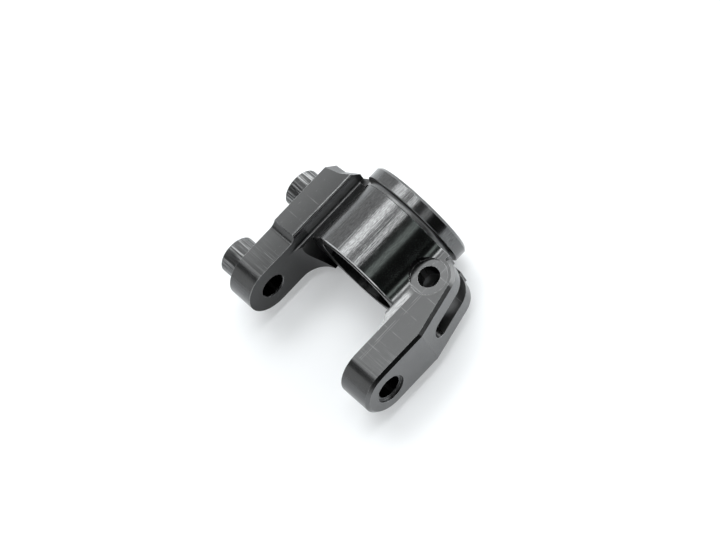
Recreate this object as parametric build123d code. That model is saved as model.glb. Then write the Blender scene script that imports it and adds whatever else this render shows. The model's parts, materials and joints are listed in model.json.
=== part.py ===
"""Steering knuckle, milled from one block of aluminium. All lengths are in millimetres.

The part lies on its side: X is the wheel axis, pointing outboard to the flange, Y is the kingpin
axis and Z is up. The origin is on the kingpin axis, midway between the inner faces of the two ears.
"""
from build123d import *
from math import acos, atan2, cos, hypot, radians, sin, sqrt, tan
import os

# Kingpin ears
ear_gap = 26.8            # clear width between the ears' inner faces
ear_radius = 6.0          # full-round end of both ears, and half the height of their flats
plain_ear_thickness = 5.95
arm_thickness = 7.45      # the ear that carries the steering clevis
kingpin_bore = 5.1        # through both ears and the boss on the plain one
arm_counterbore = 6.5
arm_counterbore_depth = 0.6

# Barrel round the wheel bearings
wheel_axis_height = 2.2   # the wheel axis runs this far above the kingpin axis
mouth_depth = 11.4        # from the kingpin axis to the back of the mouth's milled corners
mouth_corner_radius = 5.6
barrel_radius = 10.85
barrel_start = 11.75      # the barrel's inboard end face, a little behind the mouth's corners
barrel_start_chamfer = 0.4
relief_share = 0.65       # the relief round that end takes this share of the gap to the ears
barrel_end = 26.1         # outboard end of the barrel's plain outside
flange_lip = 1.3          # the flange stands this far out from the neck
neck_blend = 0.6
neck_width = 1.05         # between the barrel and the flange
flange_radius = 11.6
flange_thickness = 2.95
flange_chamfer = 0.5
bearing_bore = 18.0
bearing_width = 4.0
shoulder_bore = 16.5      # between the two bearing seats
arm_blend = 4.0           # barrel to the arm's flats

# Arm and steering clevis
arm_bend = 10.8           # where the arm's outer face turns towards the clevis
clevis_x = 20.3
clevis_y = -13.3
clevis_radius = 5.1
clevis_bolt_bore = 4.5
clevis_thread_core = 3.3  # tapping hole of the lower plate
slot_height = 4.2
slot_start = 13.1
slot_wall = 1.7           # left between the slot and the bearing seats
spot_face_radius = 3.8    # for the bolt's head; it also bites into the blend and the barrel
spot_face_depth = 0.2
arm_chamfer = 0.65

# Raised block on the plain ear
block_height = 7.0        # half the height of the block
block_ramp_start = 7.4
block_ramp_end = 9.2
block_end = 25.45
block_end_flat = 16.1     # the square end reaches in to here, then turns towards the flange
block_end_turn = 30.0     # degrees between that turned end and the kingpin axis
block_end_bevel = 1.0     # along the turned end, seen from above
block_end_bevel_drop = 1.5
corner_bevel = 2.05       # at the block's outer corner, along the wheel axis
corner_bevel_drop = 2.7
corner_bevel_turn = 15.6  # degrees about the vertical
web_height = 3.5          # top of the web that joins the block to the barrel
web_blend = 4.0           # barrel to the web
wall_foot_blend = 0.4     # web to the block's inner wall
web_tuck = 1.0            # past the barrel's end, the web starts this far inside its radius

# Bosses on the outside of the plain ear
boss_radius = 4.05
boss_height = 5.0
second_boss_x = 18.2
second_boss_core = 3.3
second_boss_hole_depth = 8.0

edge_break = 0.15
hole_break = 0.2
overlap = 0.5             # forms that join reach this far into each other

inner_face = ear_gap / 2
plain_face = inner_face + plain_ear_thickness
arm_face = -inner_face - arm_thickness
boss_face = plain_face + boss_height
block_step = block_height - ear_radius
flange_start = barrel_end + neck_width
flange_end = flange_start + flange_thickness
neck_radius = flange_radius - flange_lip
relief_radius = barrel_radius + relief_share * (inner_face - barrel_radius)
mouth_corner_x = mouth_depth - mouth_corner_radius
arm_end = clevis_x + clevis_radius
beyond = 60.0             # reaches past the part in any direction


def polygon_face(points):
    return make_face(Polyline(*points, close=True))


def along_y(sketch, y_from, y_to):
    """Runs a sketch drawn as (X, Z) from one distance along the kingpin axis to another."""
    plane = Plane(origin=(0, y_from, 0), x_dir=(1, 0, 0), z_dir=(0, -1, 0))
    return extrude(plane * sketch, y_to - y_from, dir=(0, 1, 0))


def along_x(sketch, x_from, x_to):
    """Runs a sketch drawn as (Y, Z) from one distance along the wheel axis to another."""
    plane = Plane(origin=(x_from, 0, 0), x_dir=(0, 1, 0), z_dir=(1, 0, 0))
    return extrude(plane * sketch, x_to - x_from, dir=(1, 0, 0))


def upright(sketch):
    """Runs a plan (X, Y) through the whole height."""
    return extrude(Pos(0, 0, -beyond) * sketch, 2 * beyond)


def turned(points):
    """Turns a profile of (distance outboard, radius) points about the wheel axis."""
    profile = Plane.XZ * polygon_face(points)
    return Pos(0, 0, wheel_axis_height) * revolve(profile, Axis.X)


def y_cylinder(radius, y_from, y_to, x=0.0):
    return Pos(x, (y_from + y_to) / 2, 0) * Rot(90, 0, 0) * Cylinder(radius, y_to - y_from)


def bolt_cylinder(radius, z_from, z_to):
    """An upright cylinder on the clevis bolt's axis."""
    return Pos(clevis_x, clevis_y, (z_from + z_to) / 2) * Cylinder(radius, z_to - z_from)


def countersink(radius, y, facing, x=0.0):
    """The cone that breaks the edge of a hole through a face across the kingpin axis."""
    cone = Cone(radius, radius + hole_break, hole_break)
    return Pos(x, y - facing * hole_break / 2, 0) * Rot(-90 * facing, 0, 0) * cone


def band(u_from, u_to, half_height):
    """A rectangle from u_from to u_to, the same height above and below the axis."""
    return Pos((u_from + u_to) / 2, 0) * Rectangle(u_to - u_from, 2 * half_height)


def web(y_from, y_to):
    """End view of the web beside the barrel: level with the ear below, sunk above."""
    height = web_height + ear_radius
    return Pos((y_from + y_to) / 2, web_height - height / 2) * Rectangle(y_to - y_from, height)


def hub_section():
    """Barrel, arm flats, web and the foot of the block's wall, cut across the wheel axis."""
    section = Pos(0, wheel_axis_height) * Circle(barrel_radius)
    section += band(arm_face, 0, ear_radius)
    section += web(0, plain_face)
    blends = [(-1, ear_radius, arm_blend), (-1, -ear_radius, arm_blend)]
    blends += [(1, -ear_radius, arm_blend), (1, web_height, web_blend)]
    for side, z, radius in blends:
        reach = side * sqrt(barrel_radius**2 - (z - wheel_axis_height) ** 2)
        section = fillet(section.vertices().sort_by_distance((reach, z))[0], radius)
    section &= band(arm_face, inner_face, beyond)
    section += band(inner_face, plain_face, ear_radius)
    foot = section.vertices().sort_by_distance((inner_face, web_height))[0]
    return fillet(foot, wall_foot_blend)


def hub():
    """The barrel with what runs along it, and the walls of the mouth's corners beside it."""
    section = hub_section()
    body = along_x(section, barrel_start, barrel_end - edge_break)
    body = chamfer(body.faces().sort_by(Axis.X)[0].edges(), barrel_start_chamfer)
    walls = section - Pos(0, wheel_axis_height) * Circle(relief_radius)
    return body + along_x(walls, mouth_corner_x, barrel_start + barrel_start_chamfer)


def hub_plan():
    """All from the arm's inner face to the block's end, which turns towards the flange."""
    tip = block_end + (block_end_flat - barrel_radius) * tan(radians(block_end_turn))
    corners = [(beyond, barrel_radius), (tip, barrel_radius), (block_end, block_end_flat)]
    corners += [(block_end, beyond), (-beyond, beyond), (-beyond, -inner_face), (beyond, -inner_face)]
    return polygon_face(corners)


def block_side_profile():
    """Side view of the plain ear: round end, low flats, then a hollow ramp up to the block."""
    with BuildSketch() as profile:
        with BuildLine():
            rise = (block_ramp_end, block_height)
            low = Line((0, ear_radius), (block_ramp_start, ear_radius))
            ramp = TangentArc(low @ 1, rise, tangent=low % 1)
            top = Polyline(ramp @ 1, (beyond, block_height), (beyond, 0), (0, 0), (0, ear_radius))
        make_face()
        mirror(about=Plane.XZ)
        Circle(ear_radius)
    return profile.sketch


def block_section():
    """End view of the block, its inner edges rounded down to the ear's flats."""
    section = band(inner_face, plain_face, block_height)
    inner_corners = section.vertices().sort_by(Axis.X)[:2]
    return fillet(inner_corners, block_step)


def end_bevels():
    """Waste at the block's outboard end, above both of two slanting planes."""
    turn = radians(block_end_turn)
    end_slope = atan2(block_end_bevel_drop, block_end_bevel)
    inset = block_end_bevel * cos(turn)
    end_cut = bevel_tool(
        (block_end - inset, block_end_flat - block_end_bevel * sin(turn)), turn, end_slope
    )
    corner_slope = atan2(corner_bevel_drop, corner_bevel * cos(radians(corner_bevel_turn)))
    corner = (block_end - corner_bevel, plain_face)
    corner_cut = bevel_tool(corner, radians(corner_bevel_turn), corner_slope)
    clear_of_barrel = Pos(0, flange_radius + beyond / 2, 0) * Box(2 * beyond, beyond, 2 * beyond)
    cut = end_cut & corner_cut & clear_of_barrel
    return [cut, mirror(cut, about=Plane.XY)]


def bevel_tool(point, turn, slope):
    """A block of waste above a plane through point at the block's top, falling outboard."""
    run = (cos(turn) * cos(slope), sin(turn) * cos(slope), -sin(slope))
    normal = (cos(turn) * sin(slope), sin(turn) * sin(slope), cos(slope))
    plane = Plane(origin=(*point, block_height), x_dir=run, z_dir=normal)
    return extrude(plane * Rectangle(beyond, beyond), beyond, dir=normal)


def block_side():
    """The plain ear with its raised block."""
    body = along_y(block_side_profile(), inner_face, plain_face)
    body &= along_x(block_section(), -beyond, beyond)
    web_end = web(barrel_radius - web_tuck, inner_face + overlap)
    return body + along_x(web_end, barrel_end - overlap, flange_start + overlap)


def arm_plan():
    """Plan of the arm: straight past the kingpin, then slanting in to the rounded clevis."""
    across, along = clevis_y - arm_face, clevis_x - arm_bend
    slant = acos(clevis_radius / hypot(along, across)) - atan2(along, across)
    tangent = (clevis_x + clevis_radius * sin(slant), clevis_y - clevis_radius * cos(slant))
    middle = slant / 2 + radians(45)
    halfway = (clevis_x + clevis_radius * sin(middle), clevis_y - clevis_radius * cos(middle))
    with BuildSketch() as plan:
        with BuildLine():
            Polyline((-2 * ear_radius, arm_face), (arm_bend, arm_face), tangent)
            ThreePointArc(tangent, halfway, (arm_end, clevis_y))
            Polyline((arm_end, clevis_y), (arm_end, 0), (-2 * ear_radius, 0), (-2 * ear_radius, arm_face))
        make_face()
    return plan.sketch


def arm():
    """The thick ear with the clevis, chamfered round its outer face."""
    side = Circle(ear_radius) + band(0, beyond, ear_radius)
    body = upright(arm_plan()) & along_y(side, arm_face, -inner_face + overlap)

    def on_outer_rim(edge):
        middle = edge @ 0.5
        on_flat = abs(abs(middle.Z) - ear_radius) < 0.01 and middle.Y < clevis_y
        round_end = middle.X < -0.1 and abs(middle.Y - arm_face) < 0.01
        on_arc = middle.X > clevis_x and abs(abs(middle.Z) - ear_radius) < 0.01
        facing_out = middle.X > 0 and (abs(middle.Y - arm_face) < 0.01 or middle.X > arm_bend)
        return round_end or (on_flat and facing_out) or (on_arc and middle.X < arm_end - 0.01)

    return chamfer(body.edges().filter_by(on_outer_rim), arm_chamfer)


def turned_outside():
    """Outboard end of the barrel, the neck behind the flange and the flange."""
    rim = flange_radius - flange_chamfer
    points = [
        (barrel_end - overlap, 0),
        (barrel_end - overlap, barrel_radius),
        (barrel_end - edge_break, barrel_radius),
        (barrel_end, barrel_radius - edge_break),
        (barrel_end, neck_radius),
        (flange_start, neck_radius),
        (flange_start, flange_radius - edge_break),
        (flange_start + edge_break, flange_radius),
        (flange_end - flange_chamfer, flange_radius),
        (flange_end, rim),
        (flange_end, 0),
    ]
    profile = polygon_face(points)
    corner = profile.vertices().sort_by_distance((flange_start, neck_radius))[0]
    profile = Plane.XZ * fillet(corner, neck_blend)
    return Pos(0, 0, wheel_axis_height) * revolve(profile, Axis.X)


def bearing_bores():
    """Two bearing seats and the smaller bore between them."""
    seat, shoulder = bearing_bore / 2, shoulder_bore / 2
    outer_seat = flange_end - bearing_width
    inner_seat = barrel_start + bearing_width
    points = [
        (0, 0),
        (0, seat + edge_break),
        (barrel_start, seat + edge_break),
        (barrel_start + edge_break, seat),
        (inner_seat, seat),
        (inner_seat, shoulder),
        (outer_seat, shoulder),
        (outer_seat, seat),
        (flange_end - edge_break, seat),
        (flange_end, seat + edge_break),
        (flange_end + overlap, seat + edge_break),
        (flange_end + overlap, 0),
    ]
    return turned(points)


def mouth():
    """The opening between the ears, milled right through with round inner corners."""
    face = Pos((mouth_depth - beyond) / 2, 0) * Rectangle(mouth_depth + beyond, ear_gap)
    face = fillet(face.vertices().sort_by(Axis.X)[-2:], mouth_corner_radius)
    return upright(face)


def clevis_slot():
    """Slot for the steering link, round at its inboard end and open outboard."""
    floor = -(bearing_bore / 2 + slot_wall)
    radius = slot_height / 2
    shape = Pos(slot_start + radius, 0) * Circle(radius)
    shape += band(slot_start + radius, barrel_end, radius)
    return along_y(shape, arm_face - overlap, floor)


def clevis_holes():
    """Bolt clearance and head seat in the upper plate, tapping hole in the lower one."""
    seat = ear_radius - spot_face_depth
    return [
        bolt_cylinder(spot_face_radius, seat, barrel_radius + wheel_axis_height),
        bolt_cylinder(clevis_bolt_bore / 2, 0, seat + overlap),
        bolt_cylinder(clevis_thread_core / 2, -ear_radius - overlap, 0),
    ]


def kingpin_holes():
    radius = kingpin_bore / 2
    return [
        y_cylinder(radius, arm_face - overlap, boss_face + overlap),
        y_cylinder(arm_counterbore / 2, arm_face - overlap, arm_face + arm_counterbore_depth),
        countersink(radius, boss_face, 1),
        countersink(radius, inner_face, -1),
        countersink(radius, -inner_face, 1),
    ]


def boss(x):
    body = y_cylinder(boss_radius, plain_face - overlap, boss_face, x)
    return chamfer(body.edges().sort_by(Axis.Y)[-1], edge_break)


def second_boss_hole():
    bottom = boss_face - second_boss_hole_depth
    hole = y_cylinder(second_boss_core / 2, bottom, boss_face + overlap, second_boss_x)
    return [hole, countersink(second_boss_core / 2, boss_face, 1, second_boss_x)]


def steering_knuckle():
    knuckle = (hub() + block_side()) & upright(hub_plan())
    knuckle -= end_bevels()
    knuckle += [arm(), turned_outside(), boss(0), boss(second_boss_x)]
    knuckle -= [mouth(), bearing_bores(), clevis_slot()]
    knuckle -= clevis_holes() + kingpin_holes() + second_boss_hole()
    return knuckle.solid()


os.makedirs("parts", exist_ok=True)
export_step(steering_knuckle(), "parts/steering_knuckle.step")
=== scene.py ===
"""Steering knuckle: black anodised aluminium on a pale table, lit by a light tent."""
import json
import math
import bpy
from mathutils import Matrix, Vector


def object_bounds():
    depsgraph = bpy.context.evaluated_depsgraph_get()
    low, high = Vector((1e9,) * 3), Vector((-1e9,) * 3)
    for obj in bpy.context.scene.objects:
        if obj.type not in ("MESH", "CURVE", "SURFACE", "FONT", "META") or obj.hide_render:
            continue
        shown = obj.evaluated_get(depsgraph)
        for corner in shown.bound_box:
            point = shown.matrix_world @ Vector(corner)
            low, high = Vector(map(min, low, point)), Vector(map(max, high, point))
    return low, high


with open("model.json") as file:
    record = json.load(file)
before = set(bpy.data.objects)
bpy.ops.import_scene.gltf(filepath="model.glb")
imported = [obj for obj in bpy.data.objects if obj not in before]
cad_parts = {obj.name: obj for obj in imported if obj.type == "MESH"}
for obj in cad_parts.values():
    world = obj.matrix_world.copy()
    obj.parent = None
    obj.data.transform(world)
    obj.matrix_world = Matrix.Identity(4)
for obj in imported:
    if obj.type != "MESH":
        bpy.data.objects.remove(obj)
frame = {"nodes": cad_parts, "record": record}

from types import SimpleNamespace

import bpy
from mathutils import Matrix, Vector

cad_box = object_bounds()

MM = 0.001

# Places and sizes on the part, in mm. The record's mounts and the part's box give these
mounts = {mount["name"]: mount for mount in frame["record"]["mounts"]}
WHEEL_AXIS_Z = mounts["inboard_bearing_seat"]["pos_m"][2] / MM
BOLT_X, BOLT_Y = (place / MM for place in mounts["clevis_bolt_hole"]["pos_m"][:2])
BOLT_BORE_RADIUS = mounts["clevis_bolt_hole"]["dims"]["r_mm"]
KINGPIN_BORE_RADIUS = mounts["kingpin_bore"]["dims"]["r_mm"]
FLOOR_Z = cad_box[0][2] / MM - 0.02     # just under the flange's lowest point

# The others are as in the solid
INNER_FACE_Y = 13.4     # the ears' inner faces are at + and - this
PLAIN_FACE_Y = 19.35    # the plain ear's outer face, which carries the bosses
EAR_TOP_Z = 6.0
BLOCK_TOP_Z = 7.0
WEB_TOP_Z = 3.5
BARREL_RADIUS = 10.85
BARREL_START_X = 11.75
BARREL_END_X = 26.1
NECK_RADIUS = 10.3
FLANGE_START_X = 27.15
RELIEF_RADIUS = 12.51   # of the cut round the barrel's inboard end
SPOT_FACE_RADIUS = 3.8
SPOT_FACE_Z = 5.8

# Marks and masks, in mm
SOFT = 0.05             # the soft edge of most masks
ARM_OUTSIDE_Y = -14.0   # the arm's outer faces all lie beyond this
RELIEF_START_X = 4.0
PASS_START_X = 0.9      # where the cutter's passes over the flats are counted from
PASS_PITCH = 4.6
PASS_WIDTH = 0.09
# How far in from a sharp edge the rubbed coating and its painted highlight reach
WORN_AND_HIGHLIT_EDGE_RADIUS = 0.16
ROUNDED_RADIUS = 0.07   # a sharp edge catches light as if it had this radius

# Tints of the coating, as shares of its tone in red, green and blue; the second is a painted greenish
# reflection on one side of the barrel
TINT = (1.0, 1.01, 1.02)
GREEN_REFLECTION_TINT = (0.92, 1.035, 0.985)

# The photograph's camera: its axes in the part's frame, and how far right, down and ahead of
# it the part's origin is, in mm
CAMERA_RIGHT = Vector((0.6867, -0.6625, -0.2993))
CAMERA_DOWN = Vector((-0.7208, -0.5670, -0.3987))
CAMERA_AHEAD = Vector((0.0944, 0.4895, -0.8669))
ORIGIN_SEEN = Vector((-7.952, 10.675, 703.8))
LENS = 183.0
SENSOR_WIDTH = 36.0

# Strengths of the light tent. The lamps and the right wall add to the plain wall and roof, and
# the dark places cover them
WALL, ROOF = 0.95, 1.0
REAR_LAMP, REAR_STRIP, FRONT_LAMP, SIDE_LAMP = 3.2, 2.0, 4.2, 0.7
RIGHT_WALL = 3.2
LEFT_GAP, FRONT_OPENING, VISOR = 0.06, 0.03, 0.12
TENT_COLOUR = (0.985, 1.0, 1.0, 1)
WHITE = (1, 1, 1, 1)

TABLE_RADIUS = 6.0      # m
TABLE_SIDES = 96
TABLE_COLOUR = (0.77, 0.785, 0.80, 1)
TABLE_GLOW = 0.17       # brightens the table where it is seen, straight or in a reflection

scene = bpy.context.scene
scene.view_settings.view_transform = "Standard"


class Graph:
    """Short names for building a node tree. A value is a number or another node's output."""

    def __init__(self, tree):
        self.tree = tree
        tree.nodes.clear()

    def node(self, kind, **settings):
        made = self.tree.nodes.new(kind)
        for name, value in settings.items():
            setattr(made, name, value)
        return made

    def put(self, value, socket):
        """Links or sets a value. None leaves the socket as it is."""
        if isinstance(value, bpy.types.NodeSocket):
            self.tree.links.new(value, socket)
        elif value is not None:
            socket.default_value = value

    def math(self, operation, a, b=None):
        made = self.node("ShaderNodeMath", operation=operation)
        for value, socket in zip((a, b), made.inputs):
            self.put(value, socket)
        return made.outputs[0]

    def plus(self, a, b):
        return self.math("ADD", a, b)

    def minus(self, a, b):
        return self.math("SUBTRACT", a, b)

    def times(self, a, b):
        return self.math("MULTIPLY", a, b)

    def over(self, a, b):
        return self.math("DIVIDE", a, b)

    def larger(self, a, b):
        return self.math("MAXIMUM", a, b)

    def length(self, a, b):
        """Length of the line that runs a one way and b square to it."""
        return self.math("SQRT", self.plus(self.times(a, a), self.times(b, b)))

    def outside(self, mask):
        """1 where the mask is 0, and 0 where it is 1."""
        return self.minus(1.0, mask)

    def step(self, value, start, end):
        """Smooth change from 0 at start to 1 at end, whichever of the two is larger."""
        made = self.node("ShaderNodeMapRange", interpolation_type="SMOOTHSTEP", clamp=True)
        self.put(value, made.inputs["Value"])
        ends = (end, start, 1, 0) if start > end else (start, end, 0, 1)
        for name, number in zip(("From Min", "From Max", "To Min", "To Max"), ends):
            made.inputs[name].default_value = number
        return made.outputs["Result"]

    def window(self, value, low, high, soft):
        """1 between low and high, with soft edges that wide outside them."""
        return self.times(self.step(value, low - soft, low), self.step(value, high + soft, high))

    def mix(self, factor, a, b):
        """Blend of two numbers, from a at factor 0 to b at factor 1."""
        made = self.node("ShaderNodeMix", data_type="FLOAT")
        sockets = (made.inputs[0], made.inputs[2], made.inputs[3])
        for value, socket in zip((factor, a, b), sockets):
            self.put(value, socket)
        return made.outputs[0]

    def layered(self, value, layers):
        """Each layer is a mask and a value, which covers what came before where the mask is 1."""
        for mask, cover in layers:
            value = self.mix(mask, value, cover)
        return value

    def split(self, vector):
        made = self.node("ShaderNodeSeparateXYZ")
        self.put(vector, made.inputs[0])
        return made.outputs[0], made.outputs[1], made.outputs[2]

    def noise(self, place, pace, detail=2.0, rough=0.5, turn=0.0):
        """Noise with its own pace of change along X, Y and Z, turned about Z."""
        mapped = self.node("ShaderNodeMapping")
        self.put(place, mapped.inputs["Vector"])
        mapped.inputs["Scale"].default_value = pace
        mapped.inputs["Rotation"].default_value = (0, 0, turn)
        made = self.node("ShaderNodeTexNoise")
        self.put(mapped.outputs[0], made.inputs["Vector"])
        made.inputs["Scale"].default_value = 1.0
        made.inputs["Detail"].default_value = detail
        made.inputs["Roughness"].default_value = rough
        return made.outputs[0]

    def show(self, shader, output="ShaderNodeOutputMaterial"):
        self.put(shader.outputs[0], self.node(output).inputs["Surface"])


def new_material(name):
    material = bpy.data.materials.new(name)
    material.use_nodes = True
    return material, Graph(material.node_tree)


# --- Camera ---------------------------------------------------------------------------------------

def add_camera():
    """Long lens from above the arm's side, at the photograph's viewing angle."""
    data = bpy.data.cameras.new("camera")
    data.sensor_width = SENSOR_WIDTH
    data.lens = LENS
    data.clip_start, data.clip_end = 0.01, 50.0
    data.dof.use_dof = False
    camera = bpy.data.objects.new("camera", data)
    turn = Matrix((CAMERA_RIGHT, -CAMERA_DOWN, -CAMERA_AHEAD)).transposed()
    offset = ORIGIN_SEEN * MM
    place = -(CAMERA_RIGHT * offset.x + CAMERA_DOWN * offset.y + CAMERA_AHEAD * offset.z)
    camera.matrix_world = Matrix.Translation(place) @ turn.to_4x4()
    scene.collection.objects.link(camera)
    scene.camera = camera


# --- Light tent -----------------------------------------------------------------------------------

def tent_light(g):
    """Strength of the tent's light from every direction, as the part and the table receive it."""
    x, y, z = g.split(g.node("ShaderNodeTexCoord").outputs["Generated"])
    # Where the direction meets a level roof, 1 above the part
    height = g.larger(z, 0.02)
    roof_x, roof_y = g.over(x, height), g.over(y, height)
    up = g.step(z, 0.0, 0.08)
    level = g.larger(g.length(x, y), 0.001)

    def roof_patch(along_x, along_y):
        """1 on one patch of the roof, given as its low end, high end and soft edge each way."""
        return g.times(g.times(g.window(roof_x, *along_x), g.window(roof_y, *along_y)), up)

    left_gap = roof_patch((-0.80, -0.40, 0.18), (0.1, 1.1, 0.3))
    visor = roof_patch((-0.7, 0.7, 0.2), (-0.66, -0.30, 0.06))
    right_wall = g.times(g.step(g.over(x, level), 0.1, 0.8), g.window(z, 0.05, 0.50, 0.1))
    front_opening = g.times(g.step(g.over(y, level), -0.76, -0.87), g.step(z, 0.67, 0.615))
    light = g.mix(g.step(z, 0.45, 0.95), WALL, ROOF)
    light = g.mix(left_gap, light, LEFT_GAP)
    light = g.plus(light, g.times(right_wall, RIGHT_WALL))
    light = g.layered(light, ((front_opening, FRONT_OPENING), (visor, VISOR)))
    lamps = (
        (REAR_LAMP, (0.10, 0.66, 0.14), (0.33, 0.72, 0.10)),
        (REAR_STRIP, (-0.22, 0.10, 0.10), (0.33, 0.72, 0.10)),
        (FRONT_LAMP, (-0.3, 0.5, 0.10), (-0.20, -0.09, 0.05)),
        (SIDE_LAMP, (1.05, 1.7, 0.12), (0.5, 1.2, 0.15)),
    )
    for strength, along_x, along_y in lamps:
        light = g.plus(light, g.times(roof_patch(along_x, along_y), strength))
    return light


def light_tent():
    """White tent with four lamps in its roof, a lit right wall, and a dark gap, opening and visor.

    The camera sees plain white in its place.
    """
    world = bpy.data.worlds.new("tent")
    scene.world = world
    world.use_nodes = True
    g = Graph(world.node_tree)
    lit = g.node("ShaderNodeBackground")
    g.put(tent_light(g), lit.inputs["Strength"])
    lit.inputs["Color"].default_value = TENT_COLOUR
    plain = g.node("ShaderNodeBackground")
    plain.inputs["Color"].default_value = WHITE
    chosen = g.node("ShaderNodeMixShader")
    g.put(g.node("ShaderNodeLightPath").outputs["Is Camera Ray"], chosen.inputs[0])
    g.put(lit.outputs[0], chosen.inputs[1])
    g.put(plain.outputs[0], chosen.inputs[2])
    g.show(chosen, "ShaderNodeOutputWorld")


def table():
    """A wide pale table just under the part. It keeps the part's shadow."""
    mesh = bpy.data.meshes.new("table")
    turns = [2 * math.pi * i / TABLE_SIDES for i in range(TABLE_SIDES)]
    ring = [(TABLE_RADIUS * math.cos(turn), TABLE_RADIUS * math.sin(turn), FLOOR_Z * MM) for turn in turns]
    mesh.from_pydata(ring, [], [list(range(TABLE_SIDES))])
    table_top = bpy.data.objects.new("table", mesh)
    scene.collection.objects.link(table_top)
    material, g = new_material("table")
    diffuse = g.node("ShaderNodeBsdfDiffuse")
    diffuse.inputs["Color"].default_value = TABLE_COLOUR
    path = g.node("ShaderNodeLightPath")
    seen = g.larger(path.outputs["Is Camera Ray"], path.outputs["Is Glossy Ray"])
    seen = g.larger(seen, path.outputs["Is Transmission Ray"])
    glow = g.node("ShaderNodeEmission")
    glow.inputs["Color"].default_value = WHITE
    g.put(g.times(seen, TABLE_GLOW), glow.inputs["Strength"])
    both = g.node("ShaderNodeAddShader")
    g.put(diffuse.outputs[0], both.inputs[0])
    g.put(glow.outputs[0], both.inputs[1])
    g.show(both)
    mesh.materials.append(material)


# --- Anodised aluminium ---------------------------------------------------------------------------

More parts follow.
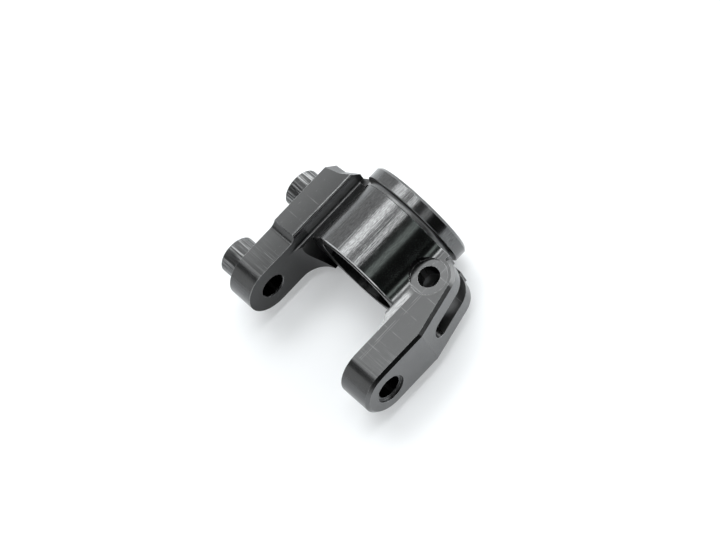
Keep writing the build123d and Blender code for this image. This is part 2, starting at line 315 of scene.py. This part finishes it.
class Surface:
    """A point of the part: its place in mm, the way it faces, and masks worked out from both.

    Each mask is 1 on its own kind of surface and 0 elsewhere.
    """

    def __init__(self, g):
        scaled = g.node("ShaderNodeVectorMath", operation="SCALE")
        g.put(g.node("ShaderNodeTexCoord").outputs["Object"], scaled.inputs[0])
        scaled.inputs["Scale"].default_value = 1 / MM
        self.place = scaled.outputs[0]
        self.x, self.y, self.z = g.split(self.place)
        self.radius = g.length(self.y, g.minus(self.z, WHEEL_AXIS_Z))     # from the wheel axis
        normal = g.split(g.node("ShaderNodeNewGeometry").outputs["True Normal"])
        self.normal_y, self.normal_z = normal[1:]
        # How squarely the surface faces along each axis, whichever way
        self.facing_x, self.facing_y, self.facing_z = (g.math("ABSOLUTE", part) for part in normal)
        self.find_barrel(g)
        self.find_mouth(g)
        self.find_holes(g)
        self.find_milled_faces(g)
        self.find_sides(g)

    def find_barrel(self, g):
        """The barrel's outside, its turned faces, its rim at the mouth, which gets a painted highlight,
        and its neck.
        """
        x, radius = self.x, self.radius
        near_outside = g.window(radius, BARREL_RADIUS - 0.1, BARREL_RADIUS + 1.0, SOFT)
        self.barrel = g.times(near_outside, g.step(self.facing_x, 0.3, 0.1))
        outboard = g.step(x, BARREL_START_X - 0.1, BARREL_START_X)
        self.turned_faces = g.times(g.step(self.facing_x, 0.95, 0.99), outboard)
        along_rim = g.window(x, BARREL_START_X + 0.22, BARREL_START_X + 0.4, 0.02)
        self.rim = g.times(along_rim, g.window(radius, BARREL_RADIUS - 0.65, BARREL_RADIUS + SOFT, 0.1))
        inboard_of_rim = g.window(x, BARREL_START_X - 0.1, BARREL_START_X + 0.2, 0.02)
        within_barrel = g.step(radius, BARREL_RADIUS + 0.1, BARREL_RADIUS + SOFT)
        self.under_rim = g.times(inboard_of_rim, within_barrel)
        near_neck = g.window(radius, NECK_RADIUS - 0.1, NECK_RADIUS + 0.9, 0.2)
        self.neck = g.times(g.window(x, BARREL_END_X, FLANGE_START_X, SOFT), near_neck)

    def find_mouth(self, g):
        """The mouth's walls, the relief round the barrel's end, and the hollow that both are in."""
        x, radius = self.x, self.radius
        between_ears = g.window(self.y, -INNER_FACE_Y, INNER_FACE_Y, SOFT)
        in_mouth = g.times(g.step(x, BARREL_START_X + 0.1, BARREL_START_X - 0.1), between_ears)
        self.mouth_wall = g.times(in_mouth, g.step(self.facing_z, 0.5, 0.3))
        within_relief = g.step(radius, RELIEF_RADIUS + SOFT, RELIEF_RADIUS)
        self.relief = g.times(within_relief, g.window(x, RELIEF_START_X, BARREL_START_X + SOFT, SOFT))
        off_barrel = g.step(radius, BARREL_RADIUS + SOFT, BARREL_RADIUS + 0.1)
        hollow_end = g.mix(off_barrel, BARREL_START_X + 0.2, BARREL_START_X + 0.45)
        along_hollow = g.times(g.step(x, -SOFT, 0.0), g.step(g.minus(x, hollow_end), SOFT, 0.0))
        within_hollow = g.step(radius, INNER_FACE_Y - SOFT, INNER_FACE_Y - 0.1)
        self.hollow = g.times(within_hollow, along_hollow)

    def find_holes(self, g):
        """The pocket of the bolt's spot face, that pocket's wall, and the bores."""
        from_bolt = g.length(g.minus(self.x, BOLT_X), g.minus(self.y, BOLT_Y))
        within_spot_face = g.step(from_bolt, SPOT_FACE_RADIUS + SOFT, SPOT_FACE_RADIUS)
        self.pocket = g.times(within_spot_face, g.step(self.z, SPOT_FACE_Z - 0.1, SPOT_FACE_Z - SOFT))
        self.pocket_wall = g.times(self.pocket, g.step(self.facing_z, 0.6, 0.4))
        from_kingpin = g.length(self.x, self.z)
        kingpin_bore = g.step(from_kingpin, KINGPIN_BORE_RADIUS + 0.1, KINGPIN_BORE_RADIUS + SOFT)
        bolt_bore = g.step(from_bolt, BOLT_BORE_RADIUS + 0.1, BOLT_BORE_RADIUS + SOFT)
        self.bores = g.larger(kingpin_bore, bolt_bore)

    def find_milled_faces(self, g):
        """Sorts milled faces by the way they face, then finds arm's outside, bosses and groove."""
        x, y, z = self.x, self.y, self.z
        # The foot of the arm's blend is level too, but it keeps the look of the curve
        blend_foot = g.times(g.window(x, 7.0, 14.6, 2.2), g.step(z, EAR_TOP_Z - 0.15, EAR_TOP_Z - SOFT))
        blend_foot = g.times(g.window(y, -INNER_FACE_Y, 0.0, 0.1), blend_foot)
        curved = g.larger(self.barrel, blend_foot)
        self.flats = g.times(g.step(self.facing_z, 0.985, 0.998), g.outside(curved))
        self.square_faces = g.step(self.facing_y, 0.97, 0.995)
        neither = g.times(g.outside(self.flats), g.outside(self.square_faces))
        self.long_curves = g.times(g.step(self.facing_x, 0.20, 0.08), neither)
        curved_ends = g.times(g.step(self.facing_x, 0.12, 0.30), g.step(self.facing_y, 0.5, 0.3))
        self.round_ends = g.times(curved_ends, g.outside(self.turned_faces))
        beyond_arm = g.step(y, ARM_OUTSIDE_Y + 0.2, ARM_OUTSIDE_Y)
        self.arm_outside = g.times(g.step(self.normal_y, -0.80, -0.95), beyond_arm)
        beyond_plain_ear = g.step(y, PLAIN_FACE_Y + SOFT, PLAIN_FACE_Y + 0.25)
        self.bosses = g.times(beyond_plain_ear, g.step(self.facing_y, 0.3, 0.1))
        above_web = g.window(z, WEB_TOP_Z - 0.5, BLOCK_TOP_Z - 0.2, 0.2)
        self.groove = g.times(g.window(y, 10.0, INNER_FACE_Y + 0.1, 0.2), above_web)

    def find_sides(self, g):
        """The arm's side of the part, where marks are fainter, and where a greenish reflection is painted
        on the barrel.
        """
        self.arm_side = g.step(self.y, 0.0, -8.0)
        self.smooth_side = g.step(self.y, -4.2, -5.6)
        inboard_of_flange = g.step(self.x, FLANGE_START_X, BARREL_END_X)
        # Painted reflection: a greenish tint on the barrel's arm side
        green_reflection_side = g.times(g.times(self.barrel, self.smooth_side), inboard_of_flange)
        self.green_reflection_side = g.times(g.times(green_reflection_side, g.step(self.z, 4.5, 6.5)), g.outside(self.pocket))


def tool_paths(g, on):
    """Thin lines on the flats, where one pass of the cutter met the next."""
    share = g.math("FRACT", g.over(g.minus(on.x, PASS_START_X), PASS_PITCH))
    half_width = PASS_WIDTH / PASS_PITCH / 2
    passes = g.window(share, 0.5 - half_width, 0.5 + half_width, 0.8 * half_width)
    passes = g.times(passes, g.step(g.noise(on.place, (0.4, 0.3, 1.0)), 0.42, 0.60))
    along_arm = g.larger(g.window(on.y, -14.72, -14.62, 0.05), g.window(on.y, -15.1, -15.04, 0.04))
    along_arm = g.times(along_arm, g.step(g.noise(on.place, (0.3, 1.0, 1.0)), 0.38, 0.55))
    return g.times(g.larger(passes, along_arm), on.flats)


def worn_and_highlit_edges(g):
    """1 on sharp outer edges, where handling has rubbed the coating thin, and where a highlight along the
    edge is painted.
    """
    rounded = g.node("ShaderNodeBevel", samples=6)
    rounded.inputs["Radius"].default_value = WORN_AND_HIGHLIT_EDGE_RADIUS * MM
    alike = g.node("ShaderNodeVectorMath", operation="DOT_PRODUCT")
    g.put(rounded.outputs[0], alike.inputs[0])
    g.put(g.node("ShaderNodeNewGeometry").outputs["True Normal"], alike.inputs[1])
    return g.step(alike.outputs["Value"], 0.98, 0.84)


def find_marks(g, on):
    """Marks that the cutter and handling left, with a painted highlight on the edges. The noises' pace is
    per mm.
    """
    marks = SimpleNamespace()
    marks.streaks = g.noise(on.place, (0.14, 3.4, 3.4), detail=3, rough=0.6)
    marks.broad_streaks = g.noise(on.place, (0.05, 1.5, 1.5))
    marks.fine_streaks = g.noise(on.place, (0.9, 4.6, 4.6), detail=3, rough=0.7)
    marks.along_kingpin = g.noise(on.place, (2.2, 0.08, 2.2), detail=3, rough=0.6)
    marks.rings = g.noise(on.radius, (3.0, 3.0, 3.0), rough=0.6)
    marks.grain = g.noise(on.place, (7.0, 7.0, 7.0), detail=3, rough=0.65)
    marks.clouds = g.noise(on.place, (0.35, 0.35, 0.35), detail=3, rough=0.6)
    marks.tool_paths = tool_paths(g, on)
    hair = g.noise(on.place, (0.5, 5.0, 1.0), turn=math.radians(62))
    marks.scratches = g.times(g.step(hair, 0.66, 0.74), g.step(marks.clouds, 0.45, 0.60))
    ear_lines = g.step(g.noise(on.place, (5.0, 0.12, 1.0)), 0.50, 0.70)
    marks.ear_lines = g.times(ear_lines, g.step(on.x, 7.0, 3.0))
    # Edges: rubbed coating and a painted highlight, left out in the hollow
    marks.edges = g.times(worn_and_highlit_edges(g), g.times(g.step(marks.grain, 0.30, 0.60), g.outside(on.hollow)))
    return marks


def coating_tone(g, on, marks):
    """Share of light that the coating gives back: by region, with painted shade, highlights and
    reflections on some regions, then broken up, then worn by marks, with a painted highlight on the edges.
    """
    # Painted light: curves that face sideways or down are made lighter than curves that face up
    other_curves = g.mix(g.step(on.normal_z, 0.65, 0.30), 0.095, 0.125)
    plain_ear = g.mix(g.step(on.y, 14.0, 19.5), 0.046, 0.062)
    tone = g.layered(g.mix(on.long_curves, other_curves, 0.115), (
        # Painted light: the groove is made lighter, in place of the reflection that it shows
        (on.groove, 0.16),
        (on.flats, g.mix(on.arm_side, plain_ear, 0.074)),
        # Painted shade: the mouth's walls are dark, and darker towards the bottom
        (on.mouth_wall, g.mix(g.step(on.z, -6.0, 5.0), 0.040, 0.064)),
        # Painted shade: the relief round the barrel's end is made nearly black
        (on.relief, 0.012),
        # Painted shade: the spot face's pocket is darker than the flats, and its wall nearly black
        (on.pocket, 0.052),
        (on.pocket_wall, 0.015),
        # Painted highlight: the neck between barrel and flange is made lighter
        (on.neck, 0.15),
        # Painted highlight: a bright line along the barrel's rim at the mouth
        (on.rim, 0.45),
        # Painted shade: nearly black just inboard of the rim, inside the barrel's end
        (on.under_rim, 0.015),
        # Painted reflection: the arm's outer faces are made lighter, standing in for the bright table that
        # they reflect
        (on.arm_outside, 0.165),
        (on.bosses, g.mix(g.step(marks.along_kingpin, 0.46, 0.66), 0.045, 0.22)),
        # Painted shade: the bores are made nearly black
        (on.bores, 0.022),
    ))
    tone = g.times(tone, g.mix(marks.clouds, 0.88, 1.12))
    tone = g.times(tone, g.mix(marks.grain, 0.80, 1.20))
    tone = g.times(tone, g.mix(on.long_curves, 1.0, g.mix(marks.fine_streaks, 0.20, 1.80)))
    bare_metal_and_edge_highlight = g.plus(g.times(marks.tool_paths, 0.05), g.times(g.times(marks.scratches, on.flats), 0.05))
    bare_metal_and_edge_highlight = g.plus(bare_metal_and_edge_highlight, g.times(g.times(marks.ear_lines, on.flats), 0.028))
    # Painted highlight and rubbed coating: sharp edges made much lighter
    bare_metal_and_edge_highlight = g.plus(bare_metal_and_edge_highlight, g.times(marks.edges, 0.30))
    return g.plus(tone, bare_metal_and_edge_highlight)


def coating_colour(g, on, marks):
    """The tone with its slight tint, and a painted greenish reflection on one side of the barrel."""
    tone = coating_tone(g, on, marks)
    colour = g.node("ShaderNodeCombineColor")
    for channel, (tint, green_reflection_tint) in enumerate(zip(TINT, GREEN_REFLECTION_TINT)):
        g.put(g.times(tone, g.mix(on.green_reflection_side, tint, green_reflection_tint)), colour.inputs[channel])
    return colour.outputs[0]


def coating_roughness(g, on, marks):
    rough = g.layered(g.mix(on.long_curves, 0.26, 0.17), (
        (on.flats, 0.40),
        (on.pocket, 0.24),
        (on.neck, 0.38),
        (on.groove, 0.36),
        (g.larger(on.square_faces, on.mouth_wall), 0.34),
    ))
    return g.plus(rough, g.times(g.minus(marks.clouds, 0.5), 0.08))


def marked_normal(g, on, marks):
    """The surface's normal, with softened edges and the marks' height, which is in mm."""
    streaks = g.plus(g.times(marks.streaks, 0.7), g.times(marks.broad_streaks, 0.5))
    height = g.times(streaks, g.times(on.long_curves, g.mix(on.smooth_side, 0.036, 0.003)))
    chatter = g.plus(g.times(on.round_ends, 0.028), g.times(on.bosses, 0.15))
    height = g.plus(height, g.times(marks.along_kingpin, chatter))
    height = g.plus(height, g.times(marks.rings, g.times(on.turned_faces, 0.012)))
    grain_height = g.mix(on.flats, g.mix(on.smooth_side, 0.0014, 0.0002), 0.0035)
    height = g.plus(height, g.times(marks.grain, grain_height))
    height = g.minus(height, g.times(marks.tool_paths, 0.004))
    bump = g.node("ShaderNodeBump")
    bump.inputs["Strength"].default_value = 1.0
    bump.inputs["Distance"].default_value = MM
    g.put(height, bump.inputs["Height"])
    rounded = g.node("ShaderNodeBevel", samples=4)
    rounded.inputs["Radius"].default_value = ROUNDED_RADIUS * MM
    g.put(rounded.outputs[0], bump.inputs["Normal"])
    return bump.outputs[0]


def anodised():
    """Black anodising over milled aluminium: the cutter's marks change from face to face."""
    material, g = new_material("anodised_black")
    on = Surface(g)
    marks = find_marks(g, on)
    shader = g.node("ShaderNodeBsdfPrincipled")
    shader.inputs["Metallic"].default_value = 1.0
    g.put(coating_colour(g, on, marks), shader.inputs["Base Color"])
    g.put(coating_roughness(g, on, marks), shader.inputs["Roughness"])
    g.put(marked_normal(g, on, marks), shader.inputs["Normal"])
    g.show(shader)
    return material


add_camera()
light_tent()
table()

finish = anodised()
for slot in frame["nodes"]["steering_knuckle"].material_slots:
    slot.material = finish
